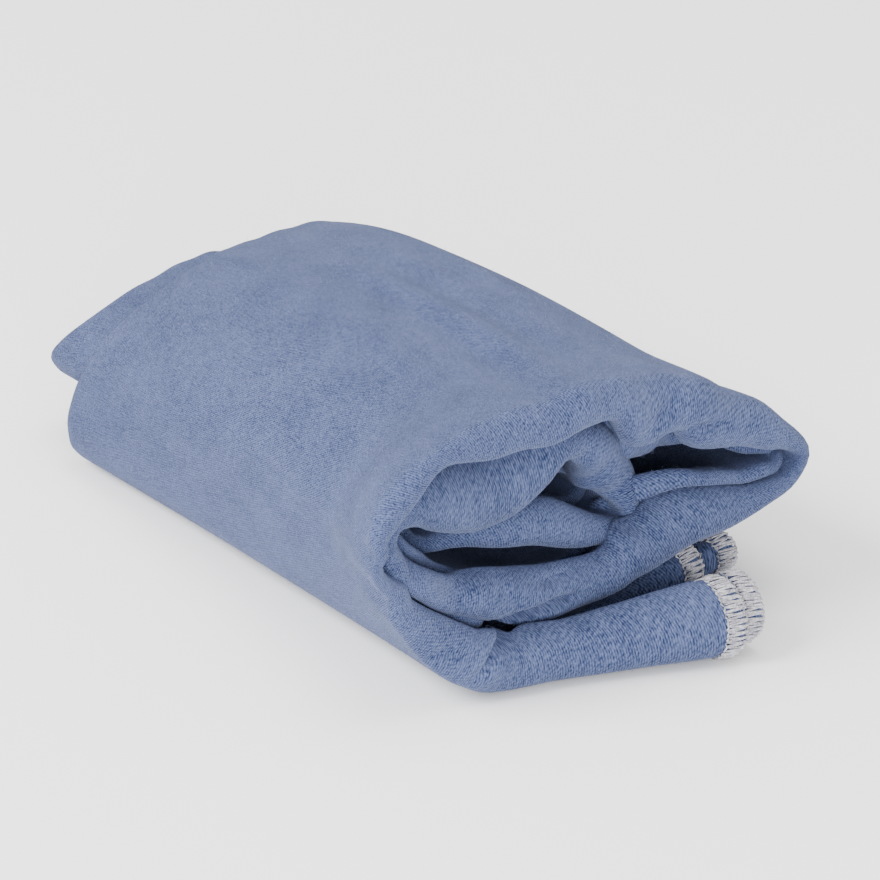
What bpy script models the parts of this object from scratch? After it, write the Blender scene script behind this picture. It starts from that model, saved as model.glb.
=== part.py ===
"""Quick dry travel towel, folded into a strip and rolled flat.

The cut cloth is doubled, both edges are brought to the middle, and the whole is closed once
more, which makes a strip of eight layers.  The strip is then rolled flat.  Every solid here is
a section across the strip, swept along the centreline of the roll.

Axes: X across the roll, Y along the roll's axis (front lips towards -Y), Z up.  Metres.
"""
import math

import bmesh
import bpy

# ---- Driving dimensions -------------------------------------------------------------------
TOWEL_WIDTH = 1.500          # cut size, folded in eight across the strip
TOWEL_LENGTH = 0.750         # cut size, rolled up along the strip
PLY = 0.0012                 # height that one ply of cloth takes up in the folded strip
FOLD_GAP = 0.0008            # air between two neighbouring doubled runs of the strip
TURN_GAP = 0.0008            # air between two neighbouring turns of the roll
FLAT_RUN = 0.082             # straight run of the roll between its two round sides
TAIL_RUN = 0.079             # free end that lies flat on the table
TELESCOPE = 0.052            # how far the core stands out behind the tail, along the axis
OVERLOCK_WIDTH = 0.0053      # bite of the overlock stitch at every cut edge
CLEARANCE = 0.0003           # gap between touching solids

LAYERS = 8                   # layers in the strip: doubled, gate folded, closed
TURN_STEPS = 10              # facets in half a turn of the roll
FRONT_FOLD_STEPS = 4         # facets round a front fold
BACK_FOLD_STEPS = 6          # facets round the back fold

# ---- Sizes worked out from them -----------------------------------------------------------
STRIP_WIDTH = TOWEL_WIDTH / LAYERS
RUN = 2.0 * PLY                                   # a doubled run of cloth
RUN_PITCH = RUN + FOLD_GAP                        # from one doubled run to the next
STRIP_THICKNESS = 4.0 * RUN + 3.0 * FOLD_GAP
TURN_PITCH = STRIP_THICKNESS + TURN_GAP


# ---- The roll's centreline, in the XZ plane -----------------------------------------------
def half_turns_needed():
    """Half turns that the strip is long enough to start."""
    count = 1
    while full_path_length(count) < TOWEL_LENGTH:
        count += 1
    return count


def full_path_length(half_turns):
    """Length of the tail, and of this many half turns and flat runs."""
    arcs = math.pi * TURN_PITCH * half_turns * (half_turns + 1) / 4.0
    return TAIL_RUN + half_turns * FLAT_RUN + arcs


def roll_stations():
    """Stations (s, x, z, angle) from the tail to the innermost run.

    The angle is the direction of travel.  The strip's outer side is on its left.
    """
    half_turns = half_turns_needed()
    x, z, angle, s = TAIL_RUN, 0.0, math.pi, 0.0
    stations = [(s, x, z, angle)]
    runs = [TAIL_RUN] + [FLAT_RUN] * half_turns
    for index, run in enumerate(runs):
        x += run * math.cos(angle)
        z += run * math.sin(angle)
        s += run
        stations.append((s, x, z, angle))
        if index == half_turns:
            break
        radius = TURN_PITCH * (half_turns - index) / 2.0
        centre_x = x + radius * math.sin(angle)
        centre_z = z - radius * math.cos(angle)
        for _ in range(TURN_STEPS):
            angle -= math.pi / TURN_STEPS
            s += radius * math.pi / TURN_STEPS
            x = centre_x - radius * math.sin(angle)
            z = centre_z + radius * math.cos(angle)
            stations.append((s, x, z, angle))
    return stations


def stations_between(stations, start, end):
    """The stations of one stretch of the strip, with both of its ends."""
    inside = [station for station in stations if start + 1e-6 < station[0] < end - 1e-6]
    return [station_at(stations, start)] + inside + [station_at(stations, end)]


def station_at(stations, s):
    """The station at any length along the strip, between two of the list."""
    for before, after in zip(stations, stations[1:]):
        if before[0] <= s <= after[0]:
            share = (s - before[0]) / (after[0] - before[0])
            return tuple(a + share * (b - a) for a, b in zip(before, after))
    return stations[-1]


# ---- Sections across the strip: y along the roll's axis, d away from its centre ------------
def arc(centre_y, centre_d, radius, start, end, steps):
    """Points and outward directions on an arc, with angles in degrees from +y to +d."""
    result = []
    for step in range(steps + 1):
        angle = math.radians(start + (end - start) * step / steps)
        direction = (math.cos(angle), math.sin(angle))
        point = (centre_y + radius * direction[0], centre_d + radius * direction[1])
        result.append((point, direction))
    return result


def folded_section():
    """Closed outline of the doubled cloth on its way through the strip."""
    front = 0.5 * RUN_PITCH + PLY
    back = back_fold_centre()
    end = run_end()
    lower_fold = arc(front, -RUN_PITCH, 0.5 * RUN_PITCH, 90, 270, FRONT_FOLD_STEPS)
    back_fold = arc(back, 0.0, 1.5 * RUN_PITCH, -90, 90, BACK_FOLD_STEPS)
    upper_fold = arc(front, RUN_PITCH, 0.5 * RUN_PITCH, 90, 270, FRONT_FOLD_STEPS)
    path = [((end, -0.5 * RUN_PITCH), (0.0, 1.0))]
    path += lower_fold
    path += back_fold
    path += upper_fold
    path += [((end, 0.5 * RUN_PITCH), (0.0, -1.0))]
    half = PLY
    outer = [(y + half * ny, d + half * nd) for (y, d), (ny, nd) in path]
    inner = [(y - half * ny, d - half * nd) for (y, d), (ny, nd) in path]
    return outer + inner[::-1]


def back_fold_centre():
    """Centre of the fold that closes the strip at the back."""
    return STRIP_WIDTH - 1.5 * RUN_PITCH - PLY


def run_end():
    """Where the two inner runs end, with room for the overlock of the hidden edges."""
    inner_radius = 1.5 * RUN_PITCH - PLY
    reach = 0.5 * inner_radius
    return back_fold_centre() + reach - OVERLOCK_WIDTH - CLEARANCE


def hidden_overlock_section(side):
    """Outline of the thread on one ply, side -1 towards the core and +1 away from it."""
    near = -0.5 * RUN_PITCH + side * 0.5 * CLEARANCE
    far = -0.5 * RUN_PITCH + side * PLY
    start = run_end() + CLEARANCE
    end = start + OVERLOCK_WIDTH
    return [(start, near), (end, near), (end, far), (start, far)]


# ---- Solids -------------------------------------------------------------------------------
def sweep(stations, section):
    """Rings of points: the section carried along a stretch of the strip."""
    rings = []
    for s, x, z, angle in stations:
        out_x = -math.sin(angle)
        out_z = math.cos(angle)
        shift = TELESCOPE * s / TOWEL_LENGTH
        rings.append([(x + d * out_x, shift + y, z + d * out_z) for y, d in section])
    return rings


def centred(parts):
    """Move the rings so that the whole object stands centred on the origin."""
    points = [point for rings in parts.values() for ring in rings for point in ring]
    lows = [min(point[axis] for point in points) for axis in range(3)]
    highs = [max(point[axis] for point in points) for axis in range(3)]
    shift = (-(lows[0] + highs[0]) / 2.0, -(lows[1] + highs[1]) / 2.0, -lows[2])
    moved = {}
    for name, rings in parts.items():
        moved[name] = [[tuple(c + m for c, m in zip(point, shift)) for point in ring] for ring in rings]
    return moved


def make_solid(name, rings, material):
    """Closed mesh object from rings of points."""
    mesh = bpy.data.meshes.new(name)
    shape = bmesh.new()
    rows = [[shape.verts.new(point) for point in ring] for ring in rings]
    count = len(rows[0])
    for row, following in zip(rows, rows[1:]):
        for index in range(count):
            other = (index + 1) % count
            shape.faces.new((row[index], row[other], following[other], following[index]))
    shape.faces.new(rows[0])
    shape.faces.new(rows[-1])
    bmesh.ops.recalc_face_normals(shape, faces=shape.faces)
    shape.to_mesh(mesh)
    shape.free()
    mesh.materials.append(material)
    solid = bpy.data.objects.new(name, mesh)
    bpy.context.scene.collection.objects.link(solid)
    return solid


def make_material(name, colour, roughness):
    """A plain Principled material."""
    material = bpy.data.materials.new(name)
    material.use_nodes = True
    shader = material.node_tree.nodes["Principled BSDF"]
    shader.inputs["Base Color"].default_value = (*colour, 1.0)
    shader.inputs["Roughness"].default_value = roughness
    shader.inputs["Metallic"].default_value = 0.0
    return material


def main():
    for old in list(bpy.data.objects):
        bpy.data.objects.remove(old, do_unlink=True)
    cloth = make_material("microfibre", (0.19, 0.25, 0.40), 0.90)
    thread = make_material("overlock_thread", (0.60, 0.58, 0.62), 0.85)

    stations = roll_stations()
    cloth_start = OVERLOCK_WIDTH + CLEARANCE
    cloth_end = TOWEL_LENGTH - cloth_start
    body = stations_between(stations, cloth_start, cloth_end)
    tail = stations_between(stations, 0.0, OVERLOCK_WIDTH)
    core = stations_between(stations, TOWEL_LENGTH - OVERLOCK_WIDTH, TOWEL_LENGTH)
    folded = folded_section()
    parts = {
        "towel_cloth": sweep(body, folded),
        "tail_edge_overlock": sweep(tail, folded),
        "core_edge_overlock": sweep(core, folded),
        "lower_short_edge_overlock": sweep(body, hidden_overlock_section(-1)),
        "upper_short_edge_overlock": sweep(body, hidden_overlock_section(1)),
    }
    for name, rings in centred(parts).items():
        make_solid(name, rings, cloth if name == "towel_cloth" else thread)


main()
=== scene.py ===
"""Looks of the quick dry towel: one folded and rolled sheet of brushed microfibre knit, with
overlock thread on its four edges.  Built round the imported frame."""
import math

import bpy
import numpy as np
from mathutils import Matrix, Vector


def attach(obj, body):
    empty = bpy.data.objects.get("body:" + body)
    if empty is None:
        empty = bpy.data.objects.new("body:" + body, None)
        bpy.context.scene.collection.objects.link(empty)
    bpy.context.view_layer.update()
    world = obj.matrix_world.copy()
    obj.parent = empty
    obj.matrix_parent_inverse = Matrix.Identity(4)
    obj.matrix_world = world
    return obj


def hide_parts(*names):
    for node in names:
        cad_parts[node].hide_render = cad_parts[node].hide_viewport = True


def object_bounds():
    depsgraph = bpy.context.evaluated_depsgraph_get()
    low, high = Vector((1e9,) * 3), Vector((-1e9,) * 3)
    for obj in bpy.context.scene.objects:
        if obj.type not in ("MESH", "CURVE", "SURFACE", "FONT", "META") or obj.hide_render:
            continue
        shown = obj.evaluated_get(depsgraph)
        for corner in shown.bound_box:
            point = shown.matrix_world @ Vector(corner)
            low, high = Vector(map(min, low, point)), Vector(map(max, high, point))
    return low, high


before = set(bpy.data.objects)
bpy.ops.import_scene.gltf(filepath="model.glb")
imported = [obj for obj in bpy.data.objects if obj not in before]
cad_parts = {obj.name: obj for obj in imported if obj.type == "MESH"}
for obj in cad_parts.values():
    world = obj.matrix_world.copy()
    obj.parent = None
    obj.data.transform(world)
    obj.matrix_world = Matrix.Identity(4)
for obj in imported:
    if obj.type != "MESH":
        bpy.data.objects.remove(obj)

CAD_BOX = [list(corner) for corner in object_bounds()]

# ---- Sizes, in millimetres ----------------------------------------------------------------
STRIP_WIDTH = 187.5          # towel folded in eight
CLOTH = 0.85                 # thickness of the cloth
BACK_THICKNESS = 9.2         # the eight layers where they are pressed flat
PLY = BACK_THICKNESS / 8
OVERLOCK = 5.3               # bite of the overlock
STITCH = 1.64                # one overlock stitch along the edge
THREAD_LIFT = 0.16           # thread's middle above the cloth's face
FIBRES = 14000               # loose fibres on the cloth
LIP_SPREAD = 0.3             # a lip opens out over this share of its fullness
LINING_SETBACK = 3.0         # the inner ply turns this far behind the outer one
HIDDEN_SETBACK = 3.0         # the hidden layers stop this far short of the back fold
SETTLING = 45.0              # length behind a lip over which the front fullness settles
SUNK_LENGTH = 188.0          # y at which the roll has sunk to its back height

# Stations along the strip: those on the free end's hem, then how far apart the others are up to
# each length, and in the core.
HEM_STATIONS = [0.0, 1.3, 2.7, 4.0, OVERLOCK]
SPACING = [(60, 1.5), (84, 0.75), (110, 1.5), (650, 2.6)]
CORE_SPACING = 3.8

# Centre of the design in its own coordinates, where x = 0 is the roll's lower left corner and
# y = 0 is the front lip of the outer turn.
DESIGN_CENTRE = (38.0, 90.5)
CAD_CENTRE = [(low + high) / 2 * 1000 for low, high in zip(*CAD_BOX)]
TO_WORLD = np.array([CAD_CENTRE[0] - DESIGN_CENTRE[0], CAD_CENTRE[1] - DESIGN_CENTRE[1], 0.0])

# The front end of the roll, followed from the free end inwards.  Each row has x and z of the
# outer face, the fullness of the outer and of the inner pair of folds, y of their lips, and how
# far behind the lips the fullness dies away.
FRONT = [
    (68, 0, 23, 13, -27, 4, 36),
    (58, 0, 22.5, 11, -23.8, 6, 32),
    (48, 0, 21, 7, -19.5, 9, 26),
    (39, 0, 19.5, 5, -16, 11, 20),
    (30, 0, 18.3, 5, -12.5, 8, 17),
    (20, 0, 17.8, 3.5, -9, 9, 15),
    (14, 0, 17.4, 3, -7.5, 9, 15),
    (8, 0.2, 16.4, 3, -6, 9, 15),
    (1, 1.2, 18.3, 3.5, -5, 9, 17),
    (-5, 4.5, 17.5, 4.5, -4, 6, 20),
    (-10, 8, 16.5, 4.5, -3, 6, 23),
    (-14, 12, 15.5, 4.5, -2, 6, 26),
    (-18.5, 17.5, 13.5, 4.5, -1, 8, 28),
    (-23, 24, 11, 5, 0, 10, 30),
    (-31, 37, 6, 4, 1, 11, 34),
    (-36, 50, 4, 4, 0, 14, 38),
    (-33, 62, 9.5, 5, -1, 18, 38),
    (-24, 71, 9.5, 5, -1, 20, 38),
    (-14, 75.5, 6.5, 5, -0.5, 20, 38),
    (-5, 78, 9.5, 5, -1, 20, 38),
    (8, 78.5, 12.5, 5, -1, 20, 38),
    (32, 79, 13.5, 5, -1, 20, 38),
    (44, 78.5, 12.5, 7, 0, 22, 38),
    (50, 78, 14, 12, 0, 17, 38),
    (57, 77, 20, 12, 0, 15, 38),
    (64, 75.2, 21, 11, 0, 14, 38),
    (70, 73.4, 17.5, 14, 0, 14, 38),
    (75, 71.4, 16, 14, 0, 14, 38),
    (79, 69.8, 18, 11, 0, 15, 38),
    (84, 67, 19, 8, 0, 16, 34),
    (93, 61, 17, 5, 0.5, 16, 30),
    (101, 55, 13, 5, 1, 14, 30),
    (110, 47, 7.5, 4.5, 2, 10, 30),
    (113.5, 39, 5, 4.5, 2, 8, 30),
    (108, 31, 5.5, 5, 2, 5, 30),
    (98, 27.3, 8.5, 5, 1, 4, 30),
    (90, 24.8, 13.5, 5, 1, 4, 30),
    (82, 23, 17, 5, 1, 4, 28),
    (74, 21.3, 19, 7, 1, 6, 26),
    (67, 19.2, 19.5, 9, 1, 11, 24),
    (60, 17.2, 17.5, 10, 1, 18, 22),
    (54, 15.6, 18, 8, 1, 20, 20),
    (48, 14.5, 14.5, 5, 1, 18, 18),
    (34, 13.3, 15, 4, 1, 17, 16),
    (16, 15.2, 16.5, 4, 1, 18, 16),
    (2, 20, 14.5, 4, 2, 18, 16),
    (-10, 26, 10.5, 4, 3, 16, 18),
    (-19, 32.5, 9, 4, 3, 14, 22),
    (-26, 39.5, 8.5, 4, 4, 13, 26),
    (-30, 48, 8, 4, 5, 14, 30),
    (-27, 56, 8, 4, 6, 18, 34),
    (-19, 61.5, 13, 4.5, 7, 24, 38),
    (-8, 64, 20, 5, 8, 28, 38),
    (8, 64.5, 25, 5, 9, 30, 38),
    (20, 64.5, 25, 5, 9, 30, 38),
    (29, 64, 19, 5, 9, 30, 38),
    (36, 63.3, 10, 5, 9.5, 30, 38),
    (43, 62, 11, 5, 10, 30, 38),
    (50, 59.5, 15, 5, 10, 30, 38),
    (57, 54.5, 18, 5, 10.5, 30, 38),
    (61.5, 48, 20, 5, 11, 30, 38),
    (63, 41, 18, 5, 11, 30, 36),
    (62, 34, 12, 5, 11, 30, 30),
    (58, 29, 6, 5, 10, 30, 26),
    (50, 27.2, 8.5, 4, 10, 28, 22),
    (38, 28, 13, 4, 10, 26, 22),
    (28, 30, 14, 4, 11, 26, 22),
    (18, 32.3, 11.5, 4, 13, 26, 24),
    (4, 34.5, 7, 4.5, 18, 28, 30),
    (-6, 36, 5, 4.6, 22, 27, 38),
    (-11, 42, 5, 4.6, 28, 32, 38),
    (-7, 48.5, 5, 4.6, 40, 43, 38),
    (3, 51, 5, 4.6, 47, 50, 38),
    (20, 51.5, 5, 4.6, 50, 53, 38),
    (40, 50, 5, 4.6, 50, 53, 38),
    (52, 46, 5, 4.6, 50, 53, 38),
    (54.5, 40, 5, 4.6, 50, 53, 38),
]

# Small creases pressed into the front end: y, width, depth, then points (x, z) along each.
CREASES = [
    (10, 1.7, 3.2, (43.5, 56.5), (40.5, 52.5), (36, 50)),
    (12, 1.9, 3.6, (52, 50.5), (48.5, 46), (43.6, 43.6)),
    (12, 1.6, 2.0, (58, 42), (53, 40.5), (48, 40.5)),
    (14, 1.5, 5.0, (41.5, 40.8), (48, 37.3), (55.5, 32.3)),
    (4, 1.2, 2.6, (-5.5, 31.6), (0, 33), (6, 33)),
    (4, 1.2, 2.6, (21, 26.2), (26, 25.6), (31.5, 26.4)),
    (5, 1.3, 3.0, (-20.5, 51), (-19.3, 45), (-20.5, 39)),
    (-5, 2.5, 1.6, (-17, 16), (-12, 17.2), (-6.8, 16)),
    (4, 3.0, 1.7, (-12, 36.5), (-6, 31), (-2.4, 25)),
    (4, 2.6, 1.4, (8, 33), (10, 26), (15, 20)),
    (0, 2.6, 2.2, (57, 61), (61, 65.5), (66.5, 67.8)),
    (0, 1.3, 2.6, (69.5, 57), (75, 58.6), (81.5, 57.8)),
]

# The fold along the top of the free end's flap, which runs out at the roll's corner: x and z of
# its line, x and depth of the groove there, and x and height of the bulge below it.
FLAP_LINE = [-8, -3, 2, 7.5, 13.4, 20, 28], [5, 9.3, 13.6, 15.8, 17.0, 17.8, 19.5]
FLAP_GROOVE = [-6, -2, 3, 7, 16, 28, 36], [0, 1.5, 4.0, 7.0, 8.0, 5.0, 0]
FLAP_BULGE = [-6, 0, 12, 24, 36], [0, 0.8, 1.6, 1.6, 0]

# How the roll's left side and height change from the front end to the back end.
LEFT_HEIGHTS = [0, 12, 24, 37, 50, 62, 71, 76, 79]
LEFT_FRONT = [0, -14, -23, -31, -36, -33, -24, -10, 10]
LEFT_BACK = [-2, -7, -6, -3, 4, 16, 32, 44, 52]
RIGHT_FRONT, RIGHT_BACK = 113.0, 110.0
TOP_FRONT, TOP_BACK = 79.0, 52.5
# Lengths along the strip, and y of the back fold at each.
BACK_FOLD = [0, 80, 330, 420, 520, 690, 740], [161, 186, 188, 198, 208, 208, 201]

# Cut end of thread at the foot of the flap, inside its fold: points, and the radius at each.
LOOSE_END = [(18.0, 0.5, 1.4), (18.3, -1.4, 1.3), (18.8, -2.6, 0.8), (18.6, -3.2, 0.25)]
LOOSE_RADIUS = [0.16, 0.16, 0.14, 0.10]


# ---- Small helpers ------------------------------------------------------------------------
def smooth(x):
    """Eased step from 0 at x = 0 to 1 at x = 1."""
    x = np.clip(x, 0.0, 1.0)
    return x * x * (3.0 - 2.0 * x)


def hill(x, centre, width):
    """Rounded hill of height 1."""
    return np.exp(-(((x - centre) / width) ** 2))


def unit(vectors):
    """Vectors of the same directions, one long."""
    return vectors / np.linalg.norm(vectors, axis=-1, keepdims=True)


def running_length(points):
    """Distance along a row of points, from the first one to each."""
    return np.concatenate([[0], np.cumsum(np.linalg.norm(np.diff(points, axis=0), axis=1))])


def catmull_rom(points, steps):
    """Dense points on a Catmull-Rom curve through rows of numbers."""
    points = np.asarray(points, float)
    padded = np.vstack([2 * points[0] - points[1], points, 2 * points[-1] - points[-2]])
    pieces = []
    for a, b, c, d in zip(padded, padded[1:], padded[2:], padded[3:]):
        t = np.linspace(0, 1, steps, endpoint=False)[:, None]
        square = 2 * a - 5 * b + 4 * c - d
        cube = 3 * b - a - 3 * c + d
        pieces.append(0.5 * (2 * b + (c - a) * t + square * t**2 + cube * t**3))
    pieces.append(points[-1:])
    return np.vstack(pieces)


def ripple(rng, u, v, waves, low, high):
    """Smooth random height, from sine waves whose lengths lie between low and high."""
    total = np.zeros(np.broadcast(u, v).shape)
    for _ in range(waves):
        length = rng.uniform(low, high)
        turn = rng.uniform(0, math.pi)
        phase = rng.uniform(0, 2 * math.pi)
        total += np.sin(2 * math.pi * (u * math.cos(turn) + v * math.sin(turn)) / length + phase)
    return total / math.sqrt(waves)


def add_object(name, data):
    """New object in the scene."""
    made = bpy.data.objects.new(name, data)
    bpy.context.scene.collection.objects.link(made)
    return made


def new_mesh(name, points, faces, material):
    """Mesh object from points in design millimetres."""
    mesh = bpy.data.meshes.new(name)
    world = (np.asarray(points) + TO_WORLD) / 1000
    mesh.from_pydata(world.tolist(), [], faces)
    mesh.shade_smooth()
    mesh.materials.append(material)
    return add_object(name, mesh)


# ---- The rolled strip ---------------------------------------------------------------------
def strip_stations():
    """Lengths along the strip, closer together at the free end, and FRONT's values at each."""
    dense = catmull_rom(FRONT, 16)
    steps = np.hypot(np.diff(dense[:, 0]), np.diff(dense[:, 1]))
    length = np.concatenate([[0], np.cumsum(steps)])
    s = list(HEM_STATIONS)
    for end, step in SPACING:
        s.extend(np.arange(s[-1] + step, end, step))
    s.extend(np.arange(s[-1] + CORE_SPACING, length[-1] - 1.0, CORE_SPACING))
    s = np.array(s + [length[-1]])
    values = np.stack([np.interp(s, length, dense[:, k]) for k in range(7)], 1)
    return s, values


def back_outline(front):
    """The same outline at the back end: flatter, and drawn in on its left."""
    x, z = front[:, 0], front[:, 1]
    left_front = np.interp(z, LEFT_HEIGHTS, LEFT_FRONT)
    left_back = np.interp(z, LEFT_HEIGHTS, LEFT_BACK)
    share = (x - left_front) / (RIGHT_FRONT - left_front)
    return np.stack([left_back + share * (RIGHT_BACK - left_back), z * TOP_BACK / TOP_FRONT], 1)


class Path:
    """The way across the folded strip: one column for each sample, from edge to edge."""

    def __init__(self, count):
        self.count = count
        self.y, self.depth, self.ply, self.pair = [], [], [], []

    def add(self, y, depth, ply, pair):
        self.y.append(np.broadcast_to(y, (self.count,)))
        self.depth.append(np.broadcast_to(depth, (self.count,)))
        self.ply.append(ply)
        self.pair.append(pair)


def fold_path(values, back_y, blunt):
    """Samples (y, depth below the outer face) of both plies all the way round the strip.

    The strip has an outer pair of folds, a, and an inner pair, b.  Each has an outer and an
    inner layer, and a lining inside both.  blunt is how far each lip's nose stands out: 1 is a
    half circle, and less is flatter.  Also returns each sample's ply, 0 for the outer one or 1
    for the lining, and its pair, 1 for a, 2 for b or 0 on the back fold.
    """
    full_a, full_b, lip_a, lip_b, reach = values[:, 2:7].T
    half_back = BACK_THICKNESS / 2
    path = Path(len(values))

    def pair_a(y):
        return full_a + (half_back - full_a) * smooth((y - lip_a - LIP_SPREAD * full_a) / reach)

    def pair_b(y):
        return full_b + (half_back - full_b) * smooth((y - lip_b - LIP_SPREAD * full_b) / reach)

    levels = {
        "a_outer": lambda y: 0.0 * y,
        "a_outer_lining": lambda y: PLY + 0.0 * y,
        "a_inner_lining": lambda y: pair_a(y) - 2 * PLY,
        "a_inner": lambda y: pair_a(y) - PLY,
        "b_outer": pair_a,
        "b_outer_lining": lambda y: pair_a(y) + PLY,
        "b_inner_lining": lambda y: pair_a(y) + pair_b(y) - 2 * PLY,
        "b_inner": lambda y: pair_a(y) + pair_b(y) - PLY,
    }

    def run(level, start, end, samples, ply, pair, from_lip):
        """Along one layer, from y = start to y = end.  Samples crowd towards the front lip."""
        for share in np.linspace(0, 1, samples + 2)[1:-1]:
            eased = share**1.5 if from_lip else 1 - (1 - share) ** 1.5
            y = start + (end - start) * eased
            path.add(y, levels[level](y), ply, pair)

    def nose(first, second, pair):
        """A lip's y, and the depths of its two layers where it opens out."""
        lip_y, full = (lip_a, full_a) if pair == 1 else (lip_b, full_b)
        at = lip_y + LIP_SPREAD * full
        return lip_y, levels[first](at), levels[second](at)

    def lip_end(first, second, pair, setback):
        """y where a lip's nose meets its layers."""
        lip_y, top, bottom = nose(first, second, pair)
        return lip_y + setback + blunt * np.abs(bottom - top) / 2

    def lip(first, second, samples, ply, pair, setback):
        """Round a front lip, from the first layer's depth to the second's."""
        lip_y, top, bottom = nose(first, second, pair)
        radius = np.abs(bottom - top) / 2
        for angle in np.linspace(0, math.pi, samples):
            y = lip_y + setback + blunt * radius * (1 - math.sin(angle))
            path.add(y, (top + bottom) / 2 + (top - bottom) / 2 * math.cos(angle), ply, pair)

    def back_fold(first, second, samples, ply, setback):
        """Round the back fold, which joins the two pairs."""
        radius = np.abs(levels[second](back_y) - levels[first](back_y)) / 2
        middle = (levels[second](back_y) + levels[first](back_y)) / 2
        for angle in np.linspace(0, math.pi, samples):
            swing = (levels[first](back_y) - middle) * math.cos(angle)
            path.add(back_y - setback - radius * (1 - math.sin(angle)), middle + swing, ply, 0)

    hidden_back = back_y - HIDDEN_SETBACK
    outer_back = back_y - half_back
    lining_back = outer_back - PLY
    lining = LINING_SETBACK
    end_b = lip_end("b_outer", "b_inner", 2, 0.0)
    end_b_lining = lip_end("b_outer_lining", "b_inner_lining", 2, lining)
    end_a = lip_end("a_outer", "a_inner", 1, 0.0)
    end_a_lining = lip_end("a_outer_lining", "a_inner_lining", 1, lining)

    run("b_outer", hidden_back, end_b, 7, 0, 2, from_lip=False)
    lip("b_outer", "b_inner", 11, 0, 2, 0.0)
    run("b_inner", end_b, outer_back, 9, 0, 2, from_lip=True)
    back_fold("b_inner", "a_outer", 8, 0, 0.0)
    run("a_outer", outer_back, end_a, 36, 0, 1, from_lip=False)
    lip("a_outer", "a_inner", 30, 0, 1, 0.0)
    run("a_inner", end_a, hidden_back, 7, 0, 1, from_lip=True)
    # The doubled cloth's own fold, from the outer ply to the lining.
    for turn in (0.25, 0.75):
        path.add(hidden_back + 0.6, pair_a(hidden_back) - PLY * (1 + turn), 0, 1)
    run("a_inner_lining", hidden_back, end_a_lining, 5, 1, 1, from_lip=False)
    lip("a_inner_lining", "a_outer_lining", 7, 1, 1, lining)
    run("a_outer_lining", end_a_lining, lining_back, 5, 1, 1, from_lip=True)
    back_fold("a_outer_lining", "b_inner_lining", 5, 1, PLY)
    run("b_inner_lining", lining_back, end_b_lining, 5, 1, 2, from_lip=False)
    lip("b_inner_lining", "b_outer_lining", 6, 1, 2, lining)
    run("b_outer_lining", end_b_lining, hidden_back, 5, 1, 2, from_lip=True)
    return np.stack(path.y, 1), np.stack(path.depth, 1), np.array(path.ply), np.array(path.pair)


def turn_curvature(outline, s):
    """How tightly the strip turns inwards at each station, smoothed along the strip."""
    heading = np.unwrap(np.arctan2(np.gradient(outline[:, 1], s), np.gradient(outline[:, 0], s)))
    bend = -np.gradient(heading, s)
    kernel = np.hanning(11)
    return np.clip(np.convolve(bend, kernel / kernel.sum(), "same"), 0.0, None)


def rolled_sheet():
    """Grid of points of the whole sheet: stations along the strip by samples across it."""
    s, values = strip_stations()
    front = values[:, :2]
    back = back_outline(front)
    back_y = np.interp(s, *BACK_FOLD)
    blunt = 1 - 0.45 * hill(s, 84, 20)  # flatter noses round the roll's lower corner
    y, depth, ply, pair = fold_path(values, back_y, blunt)

    # The outer face, from the front outline to the back one.
    lip = values[:, 4][:, None]
    opened = smooth((y - lip) / SETTLING)
    settled = 0.25 * opened + 0.75 * np.clip(y / STRIP_WIDTH, -0.1, 1.08)
    sunk = 0.22 * opened + 0.78 * np.clip(y / SUNK_LENGTH, 0, 1.03) ** 3.3
    base_x = front[:, 0:1] + (back - front)[:, 0:1] * settled
    base_z = front[:, 1:2] + (back - front)[:, 1:2] * sunk
    tangent_x = np.gradient(base_x, s, axis=0)
    tangent_z = np.gradient(base_z, s, axis=0)
    size = np.hypot(tangent_x, tangent_z)
    out_x, out_z = -tangent_z / size, tangent_x / size

    # The layers below it, which crowd together inside a tight turn.
    bend = turn_curvature(front, s)[:, None]
    crowded = depth / (1 + (depth * bend) ** 4) ** 0.25
    crowded = crowded + relief(s[:, None], y)
    x = base_x - out_x * crowded
    z = base_z - out_z * crowded
    x = x + free_end_slip(s, ply, pair)

    # Uneven lips, the creases of the front end, and the fullness low down at the back.
    waver = 0.8 * ripple(np.random.default_rng(8), s, 0 * s, 5, 16, 50) * smooth((s - 70) / 40)
    y = y + waver[:, None] * (1 - smooth((y - lip) / 30))
    y = y + front_creases(x, y, z) + flap_fold(x, y, z)
    y = y + 15.0 * np.exp(-(((x + 2) / 15) ** 2) - ((z - 16) / 13) ** 2) * smooth((y - 178) / 28)
    return s, np.stack([x, y, np.maximum(z, CLOTH / 2)], 2)


def front_creases(x, y, z):
    """How far back each point of the front end is pressed by the small creases."""
    pressed = np.zeros_like(x)
    for place, width, deep, *line in CREASES:
        line = catmull_rom(line, 6)
        shares = np.linspace(0, 1, len(line))
        near = np.full(x.shape, 1e9)
        along = np.zeros(x.shape)
        for (line_x, line_z), share in zip(line, shares):
            apart = np.hypot(x - line_x, z - line_z)
            along = np.where(apart < near, share, along)
            near = np.minimum(near, apart)
        ends = 1 - 0.6 * np.abs(2 * along - 1) ** 2
        fade = 1 - smooth((y - place - 4) / 16)
        pressed = pressed + deep * ends * fade * hill(near, 0, width)
    return pressed


def flap_fold(x, y, z):
    """How far back each point is pressed by the fold along the top of the flap."""
    rise = z - np.interp(x, *FLAP_LINE)
    groove = np.interp(x, *FLAP_GROOVE) * hill(rise, 0, np.where(rise > 0, 1.9, 0.7))
    bulge = np.interp(x, *FLAP_BULGE) * hill(rise, -4.0, 3.0)
    return (groove - bulge) * (1 - smooth((y - 1) / 20))


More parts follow.
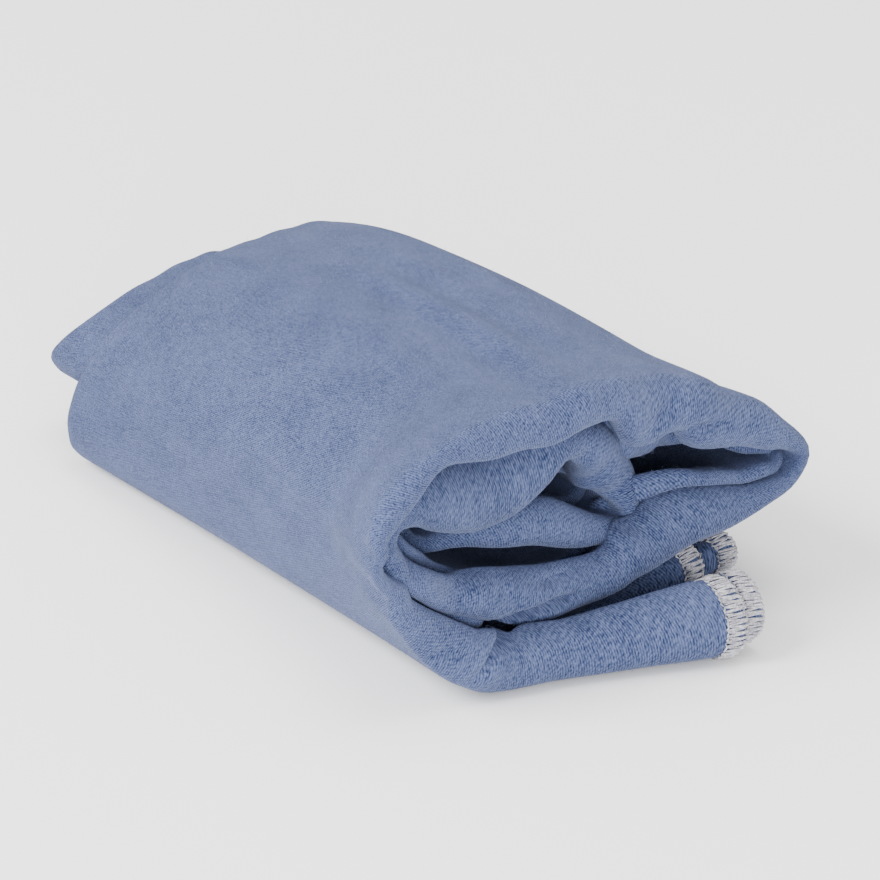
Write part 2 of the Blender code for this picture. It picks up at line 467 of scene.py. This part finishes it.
def free_end_slip(s, ply, pair):
    """At the free end the inner layers stand out further than the outer ones."""
    # The outer pair's lining, the inner pair's outer ply and the inner pair's lining.
    layers = [(pair == 1) & (ply == 1), (pair == 2) & (ply == 0), (pair == 2) & (ply == 1)]
    reach = np.select(layers, [8, 10, 24], 0)
    return reach[None, :] * (1 - smooth(s / 80))[:, None]


def relief(s, y):
    """Inward dents of the whole pack: broad and small waves, pulled folds and two sharp dents."""
    rng = np.random.default_rng(5)
    flat_floor = smooth((s - 60) / 60)
    waves = 0.9 * ripple(rng, s, 0.35 * y, 5, 45, 110)
    small = 0.32 * ripple(rng, s, 0.4 * y, 6, 14, 30)
    pulled = 1.1 * ripple(rng, s, 0.1 * y, 4, 11, 20) * hill(s, 218, 32)
    pinch = 2.8 * hill(s, 131, 3.0) * hill(y, 1, 9)
    tuck = 1.9 * hill(s - 0.25 * y, 113, 3.4) * hill(y, 3, 13)
    return (waves + small + pulled * (1 - smooth((y - 90) / 60))) * flat_floor + pinch + tuck


def grid_faces(rows, columns):
    """Four-cornered faces over a grid of points."""
    index = np.arange(rows * columns).reshape(rows, columns)
    corners = np.stack([index[:-1, :-1], index[:-1, 1:], index[1:, 1:], index[1:, :-1]], 2)
    return corners.reshape(-1, 4)


def make_cloth(material):
    """The sheet, with its place on the flat cut cloth as the UV map, in metres."""
    s, points = rolled_sheet()
    rows, columns = points.shape[:2]
    faces = grid_faces(rows, columns).tolist()
    piece = new_mesh("towel_sheet", points.reshape(-1, 3), faces, material)
    w = running_length(points[rows // 3])
    uv = np.stack(np.meshgrid(w, s), 2).reshape(-1, 2) / 1000
    layer = piece.data.uv_layers.new(name="cut")
    loops = np.zeros(len(piece.data.loops), int)
    piece.data.loops.foreach_get("vertex_index", loops)
    layer.uv.foreach_set("vector", uv[loops].astype(np.float32).ravel())
    thick = piece.modifiers.new("thickness", "SOLIDIFY")
    thick.thickness = CLOTH / 1000
    thick.offset = 0.0
    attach(piece, "root")
    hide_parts("towel_cloth")
    return piece, points


# ---- Overlock thread ----------------------------------------------------------------------
def tubes(centres, side, radius, sides):
    """Points and faces of closed tubes.  centres and side are (tube, ring, xyz) arrays."""
    tangent = np.gradient(centres, axis=1)
    across = unit(np.cross(tangent, side))
    along = unit(np.cross(across, tangent))
    angle = (np.arange(sides) * 2 * math.pi / sides)[:, None]
    spokes = np.cos(angle) * along[:, :, None] + np.sin(angle) * across[:, :, None]
    points = centres[:, :, None] + radius[..., None, None] * spokes
    count, rings = centres.shape[:2]
    index = np.arange(count * rings * sides).reshape(count, rings, sides)
    turned = np.roll(index, -1, axis=2)
    walls = np.stack([index[:, :-1], turned[:, :-1], turned[:, 1:], index[:, 1:]], 3)
    caps = index[:, 0, ::-1].tolist() + index[:, -1].tolist()
    return points.reshape(-1, 3), walls.reshape(-1, 4).tolist() + caps


def numbered_from(first, faces):
    """Faces whose corners are counted on from a first number."""
    return [[corner + first for corner in face] for face in faces]


class Edge:
    """One edge of the sheet, for laying thread on it."""

    OFFSETS = np.array([0.0, 1.3, 2.6, 4.0, OVERLOCK])

    def __init__(self, lines):
        """lines: for each place along the edge, points from the edge inwards."""
        self.grid = np.empty((len(self.OFFSETS), len(lines), 3))
        for place, line in enumerate(lines):
            distance = running_length(line)
            for axis in range(3):
                self.grid[:, place, axis] = np.interp(self.OFFSETS, distance, line[:, axis])
        self.along = running_length(self.grid[0])
        self.direction = unit(np.gradient(self.grid, axis=1))
        self.inward = unit(np.gradient(self.grid, axis=0))
        self.normal = unit(np.cross(self.direction, self.inward))

    def sample(self, grid, inwards, places):
        """Values of a grid at a distance inwards, for each place along the edge."""
        at = np.interp(max(inwards, 0.0), self.OFFSETS, np.arange(len(self.OFFSETS)))
        low = min(int(at), len(self.OFFSETS) - 2)
        row = grid[low] + (grid[low + 1] - grid[low]) * (at - low)
        return np.stack([np.interp(places, self.along, row[:, axis]) for axis in range(3)], 1)

    def path(self, places, way, loose):
        """Thread centre lines.  way lists (inwards, height above the cloth's middle, shift)."""
        centres, sides = [], []
        for (inwards, height, shift), slack in zip(way, loose):
            at = places + shift * STITCH
            inward = self.sample(self.inward, inwards, at)
            normal = self.sample(self.normal, inwards, at)
            point = self.sample(self.grid, inwards, at) + normal * height
            centres.append(point + inward * (slack[:, None] + min(inwards, 0.0)))
            sides.append(self.sample(self.direction, inwards, at))
        return np.stack(centres, 1), np.stack(sides, 1)


def overlock_way(height, start, end):
    """Once round the edge: over one face, round the edge and under the other face.

    start and end are shares of a stitch along the edge, at the needle line and at the edge.
    """
    return [
        (5.0, height, start),
        (3.4, height + 0.12, start + (end - start) * 0.35),
        (1.6, height + 0.16, start + (end - start) * 0.7),
        (0.1, height + 0.02, end),
        (-0.75, 0.0, end),
        (0.1, -height - 0.02, end),
        (1.6, -height - 0.16, start + (end - start) * 0.7),
        (3.4, -height - 0.12, start + (end - start) * 0.35),
        (5.0, -height, start),
    ]


def make_overlock(name, stands_for, lines, material, detailed, seed):
    """Overlock thread along one edge.

    Where it is seen, each stitch has three threads round the edge, a chain along it and a
    needle loop on both faces.  Where it is hidden, it has one plain thread.
    """
    rng = np.random.default_rng(seed)
    edge = Edge(lines)
    places = np.arange(0.4 * STITCH, edge.along[-1] - STITCH, STITCH)
    height = CLOTH / 2 + THREAD_LIFT
    points, faces = [], []

    def lay(way, radius, sides, loose=0.12):
        slack = rng.normal(0, loose, (len(way), len(places)))
        at = places + rng.normal(0, 0.10, len(places)) * STITCH
        centres, side = edge.path(at, way, slack)
        thick = radius * (1 + rng.normal(0, 0.08, (len(places), 1))) * np.ones(len(way))
        thick[:, 0] *= 0.7
        thick[:, -1] *= 0.7
        more, walls = tubes(centres, side, thick, sides)
        faces.extend(numbered_from(sum(len(laid) for laid in points), walls))
        points.append(more)

    if detailed:
        lay(overlock_way(height, 0.0, 0.36), 0.40, 4)
        lay(overlock_way(height + 0.04, 0.92, 0.54), 0.37, 4)
        lay(overlock_way(height + 0.20, 0.30, 0.62), 0.33, 3, 0.25)
        lay([(-0.5, 0.34, -0.1), (-0.95, 0.0, 0.5), (-0.5, -0.34, 1.1)], 0.32, 3, 0.2)
        for face in (1, -1):
            needle, crest = face * height, face * (height + 0.16)
            lay([(4.8, needle, 0.02), (5.35, crest, 0.5), (4.8, needle, 0.98)], 0.34, 3)
    else:
        lay(overlock_way(height, 0.2, 0.5)[::2], 0.55, 4)
    points = np.concatenate(points)
    points[:, 2] = np.maximum(points[:, 2], 0.0)
    piece = new_mesh(name, points, faces, material)
    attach(piece, "root")
    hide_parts(stands_for)
    return piece


# ---- Loose fibres -------------------------------------------------------------------------
def make_fuzz(points, material):
    """Short fibres that stand off the cloth's outer side, and one cut end of thread."""
    rng = np.random.default_rng(21)
    rows, columns = points.shape[:2]
    along = np.gradient(points, axis=0)
    across = np.gradient(points, axis=1)
    normal = np.cross(along, across)
    normal /= np.linalg.norm(normal, axis=2, keepdims=True) + 1e-9

    # Fewer fibres on the inner pair of folds and near the core, and none on the far side of the
    # outer lip or past it.
    inner_pair, lip_far_side = 27, 95
    share = np.linalg.norm(np.cross(along, across), axis=2)
    share[:, :inner_pair] *= 0.5
    share[:, lip_far_side:] = 0.0
    share[rows * 2 // 3:] *= 0.4
    chosen = rng.choice(rows * columns, FIBRES, p=(share / share.sum()).ravel())

    root = points.reshape(-1, 3)[chosen]
    root = root + along.reshape(-1, 3)[chosen] * rng.uniform(-0.5, 0.5, (FIBRES, 1))
    root = root + across.reshape(-1, 3)[chosen] * rng.uniform(-0.5, 0.5, (FIBRES, 1))
    up = normal.reshape(-1, 3)[chosen] * np.where(rng.random((FIBRES, 1)) < 0.5, 1.0, -1.0)
    drift = unit(rng.normal(0, 1, (FIBRES, 3)))
    length = rng.uniform(0.4, 1.6, (FIBRES, 1))
    root = root + up * CLOTH * 0.4
    middle = root + (up * 0.7 + drift * 0.5) * length * 0.5
    tip = middle + (up * 0.2 + drift) * length * 0.5
    side = np.repeat(np.cross(up, drift)[:, None], 3, axis=1)
    radius = np.ones((FIBRES, 1)) * np.array([0.028, 0.022, 0.010])
    where, faces = tubes(np.stack([root, middle, tip], 1), side, radius, 3)

    end_side = np.array([[(1.0, 0.0, 0.0)] * len(LOOSE_END)])
    end, end_faces = tubes(np.array([LOOSE_END]), end_side, np.array([LOOSE_RADIUS]), 5)
    faces.extend(numbered_from(len(where), end_faces))
    where = np.concatenate([where, end])
    where[:, 2] = np.maximum(where[:, 2], 0.0)
    piece = new_mesh("loose_fibres", where, faces, material)
    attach(piece, "root")
    return piece


# ---- Materials ----------------------------------------------------------------------------
class Nodes:
    """Small helper for wiring a material."""

    def __init__(self, name):
        self.material = bpy.data.materials.new(name)
        self.material.use_nodes = True
        self.tree = self.material.node_tree
        self.shader = self.tree.nodes["Principled BSDF"]

    def add(self, kind, settings=None, **inputs):
        """New node.  An input is named by its socket, or as _0, _1 by its number."""
        made = self.tree.nodes.new(kind)
        for key, value in (settings or {}).items():
            setattr(made, key, value)
        for key, value in inputs.items():
            socket = made.inputs[int(key[1:]) if key[0] == "_" else key.replace("_", " ")]
            if isinstance(value, bpy.types.NodeSocket):
                self.tree.links.new(value, socket)
            else:
                socket.default_value = value
        return made

    def maths(self, operation, first, second):
        made = self.add("ShaderNodeMath", {"operation": operation}, _0=first, _1=second)
        return made.outputs[0]

    def scaled(self, value, low, high):
        """Value between 0 and 1, moved to between low and high."""
        made = self.add("ShaderNodeMapRange", None, Value=value, To_Min=low, To_Max=high)
        return made.outputs[0]

    def turned(self, where, degrees):
        """Places turned within the plane of the cloth."""
        made = self.add("ShaderNodeMapping", Vector=where, Rotation=(0, 0, math.radians(degrees)))
        return made.outputs[0]

    def noise(self, where, scale, detail, rough=0.5):
        sockets = {"Vector": where, "Scale": scale, "Detail": detail, "Roughness": rough}
        return self.add("ShaderNodeTexNoise", **sockets).outputs["Fac"]

    def waves(self, where, scale, distortion, detail_scale):
        sockets = {"Vector": where, "Scale": scale, "Distortion": distortion, "Detail": 2.0}
        made = self.add("ShaderNodeTexWave", Detail_Scale=detail_scale, **sockets)
        return made.outputs["Fac"]

    def mix(self, *parts):
        """Sum of (value, weight) parts."""
        total = None
        for value, weight in parts:
            part = self.maths("MULTIPLY", value, weight)
            total = part if total is None else self.maths("ADD", total, part)
        return total

    def colour(self, tone, low, dark, high, pale):
        """Colour the surface from dark, where tone is low, to pale, where it is high."""
        ramp = self.add("ShaderNodeValToRGB", Fac=tone)
        for index, (place, shade) in enumerate([(low, dark), (high, pale)]):
            ramp.color_ramp.elements[index].position = place
            ramp.color_ramp.elements[index].color = (*shade, 1)
        self.tree.links.new(ramp.outputs["Color"], self.shader.inputs["Base Color"])

    def emboss(self, height, strength, distance):
        bump = self.add("ShaderNodeBump", Strength=strength, Distance=distance, Height=height)
        self.tree.links.new(bump.outputs["Normal"], self.shader.inputs["Normal"])


def cloth_material():
    """Brushed warp knit: fine diagonal ribs, grain, soft mottling and a pale nap."""
    nodes = Nodes("microfibre")
    where = nodes.add("ShaderNodeUVMap", {"uv_map": "cut"}).outputs[0]
    ribs = nodes.waves(nodes.turned(where, 58), 520.0, 2.2, 1.3)
    loops = nodes.waves(nodes.turned(where, -20), 430.0, 3.0, 1.2)
    grain = nodes.noise(where, 1700.0, 2.0, 0.6)
    clumps = nodes.noise(where, 420.0, 3.0, 0.6)
    mottle = nodes.noise(where, 60.0, 3.0, 0.55)
    knit = nodes.maths("MULTIPLY", ribs, nodes.scaled(loops, 0.45, 1.0))
    tone = nodes.mix((knit, 0.25), (grain, 0.85), (clumps, 0.30))
    tone = nodes.maths("ADD", tone, nodes.scaled(mottle, -0.16, 0.06))
    nodes.colour(tone, 0.42, (0.010, 0.018, 0.056), 0.80, (0.091, 0.115, 0.222))
    nodes.emboss(nodes.mix((knit, 0.5), (grain, 0.6), (clumps, 0.5)), 0.85, 0.00042)
    nodes.shader.inputs["Roughness"].default_value = 0.95
    nodes.shader.inputs["Sheen Weight"].default_value = 0.17
    nodes.shader.inputs["Sheen Roughness"].default_value = 0.4
    nodes.shader.inputs["Sheen Tint"].default_value = (0.60, 0.68, 1.0, 1)
    nodes.shader.inputs["Specular IOR Level"].default_value = 0.12
    return nodes.material


def fibre_material():
    """Plain pale blue for the loose fibres."""
    nodes = Nodes("fibre")
    nodes.shader.inputs["Base Color"].default_value = (0.22, 0.26, 0.40, 1)
    nodes.shader.inputs["Roughness"].default_value = 0.7
    return nodes.material


def thread_material():
    """Pale textured polyester thread."""
    nodes = Nodes("overlock_thread")
    where = nodes.add("ShaderNodeTexCoord").outputs["Object"]
    fine = nodes.noise(where, 2600.0, 2.0, 0.6)
    broad = nodes.noise(where, 500.0, 2.0, 0.5)
    tone = nodes.mix((fine, 0.6), (broad, 0.4))
    nodes.colour(tone, 0.32, (0.07, 0.07, 0.095), 0.66, (0.57, 0.56, 0.61))
    nodes.emboss(fine, 0.6, 0.00015)
    nodes.shader.inputs["Roughness"].default_value = 0.8
    nodes.shader.inputs["Sheen Weight"].default_value = 0.3
    return nodes.material


# ---- Camera, floor and lights -------------------------------------------------------------
def aim(thing, target):
    """Turn a camera or a lamp to face a point."""
    thing.rotation_mode = "QUATERNION"
    thing.rotation_quaternion = (Vector(target) - thing.location).to_track_quat("-Z", "Y")


def area_light(name, place, target, size, power):
    """White round lamp that faces a point."""
    data = bpy.data.lights.new(name, "AREA")
    data.shape = "DISK"
    data.size = size
    data.energy = power
    lamp = add_object(name, data)
    lamp.location = place
    aim(lamp, target)


def make_camera():
    """Camera at the photo's viewpoint."""
    azimuth, elevation, distance = math.radians(-36.5), math.radians(25.0), 2.2
    look_at = Vector((8.4, 29.8, 62.1)) / 1000 + Vector(TO_WORLD / 1000)
    back = Vector((
        math.sin(azimuth) * math.cos(elevation),
        -math.cos(azimuth) * math.cos(elevation),
        math.sin(elevation),
    ))
    data = bpy.data.cameras.new("camera")
    data.sensor_width = 36.0
    data.lens = 337.5
    data.clip_start, data.clip_end = 0.1, 50.0
    camera = add_object("camera", data)
    camera.location = look_at + back * distance
    aim(camera, look_at)
    bpy.context.scene.camera = camera


def make_floor():
    """Plain pale floor, just below what rests on it."""
    reach, level = 6.0, -0.0002
    corners = [(-reach, -reach), (reach, -reach), (reach, reach), (-reach, reach)]
    floor = bpy.data.meshes.new("floor")
    floor.from_pydata([(x, y, level) for x, y in corners], [], [(0, 1, 2, 3)])
    stage = add_object("floor", floor)
    pale = Nodes("pale_floor")
    pale.shader.inputs["Base Color"].default_value = (0.95, 0.95, 0.95, 1)
    pale.shader.inputs["Roughness"].default_value = 0.9
    floor.materials.append(pale.material)


def make_lights():
    """White surroundings and three lamps."""
    world = bpy.data.worlds.new("studio")
    bpy.context.scene.world = world
    world.use_nodes = True
    sky = world.node_tree.nodes["Background"]
    sky.inputs["Color"].default_value = (1, 1, 1, 1)
    sky.inputs["Strength"].default_value = 1.3
    area_light("key", (-1.2, 0.3, 1.2), (0, 0, 0.03), 0.9, 48)
    area_light("top", (0.3, 0.0, 1.9), (0, 0, 0.0), 1.3, 19)
    area_light("fill", (-1.0, -1.6, 0.35), (0, 0, 0.03), 1.0, 58)


# ---- Build --------------------------------------------------------------------------------
thread = thread_material()
cloth, grid = make_cloth(cloth_material())
by_column = grid.transpose(1, 0, 2)
# Each hem's name, the node it stands for, its edge of the grid, whether it is seen, and a seed.
HEMS = [
    ("tail_hem", "tail_edge_overlock", by_column, True, 31),
    ("core_hem", "core_edge_overlock", by_column[:, ::-1], False, 32),
    ("lower_short_hem", "lower_short_edge_overlock", grid, False, 33),
    ("upper_short_hem", "upper_short_edge_overlock", grid[:, ::-1], False, 34),
]
hems = [
    make_overlock(name, stands_for, lines[:, :8], thread, seen, seed)
    for name, stands_for, lines, seen, seed in HEMS
]
make_fuzz(grid, fibre_material())
make_camera()
make_floor()
make_lights()
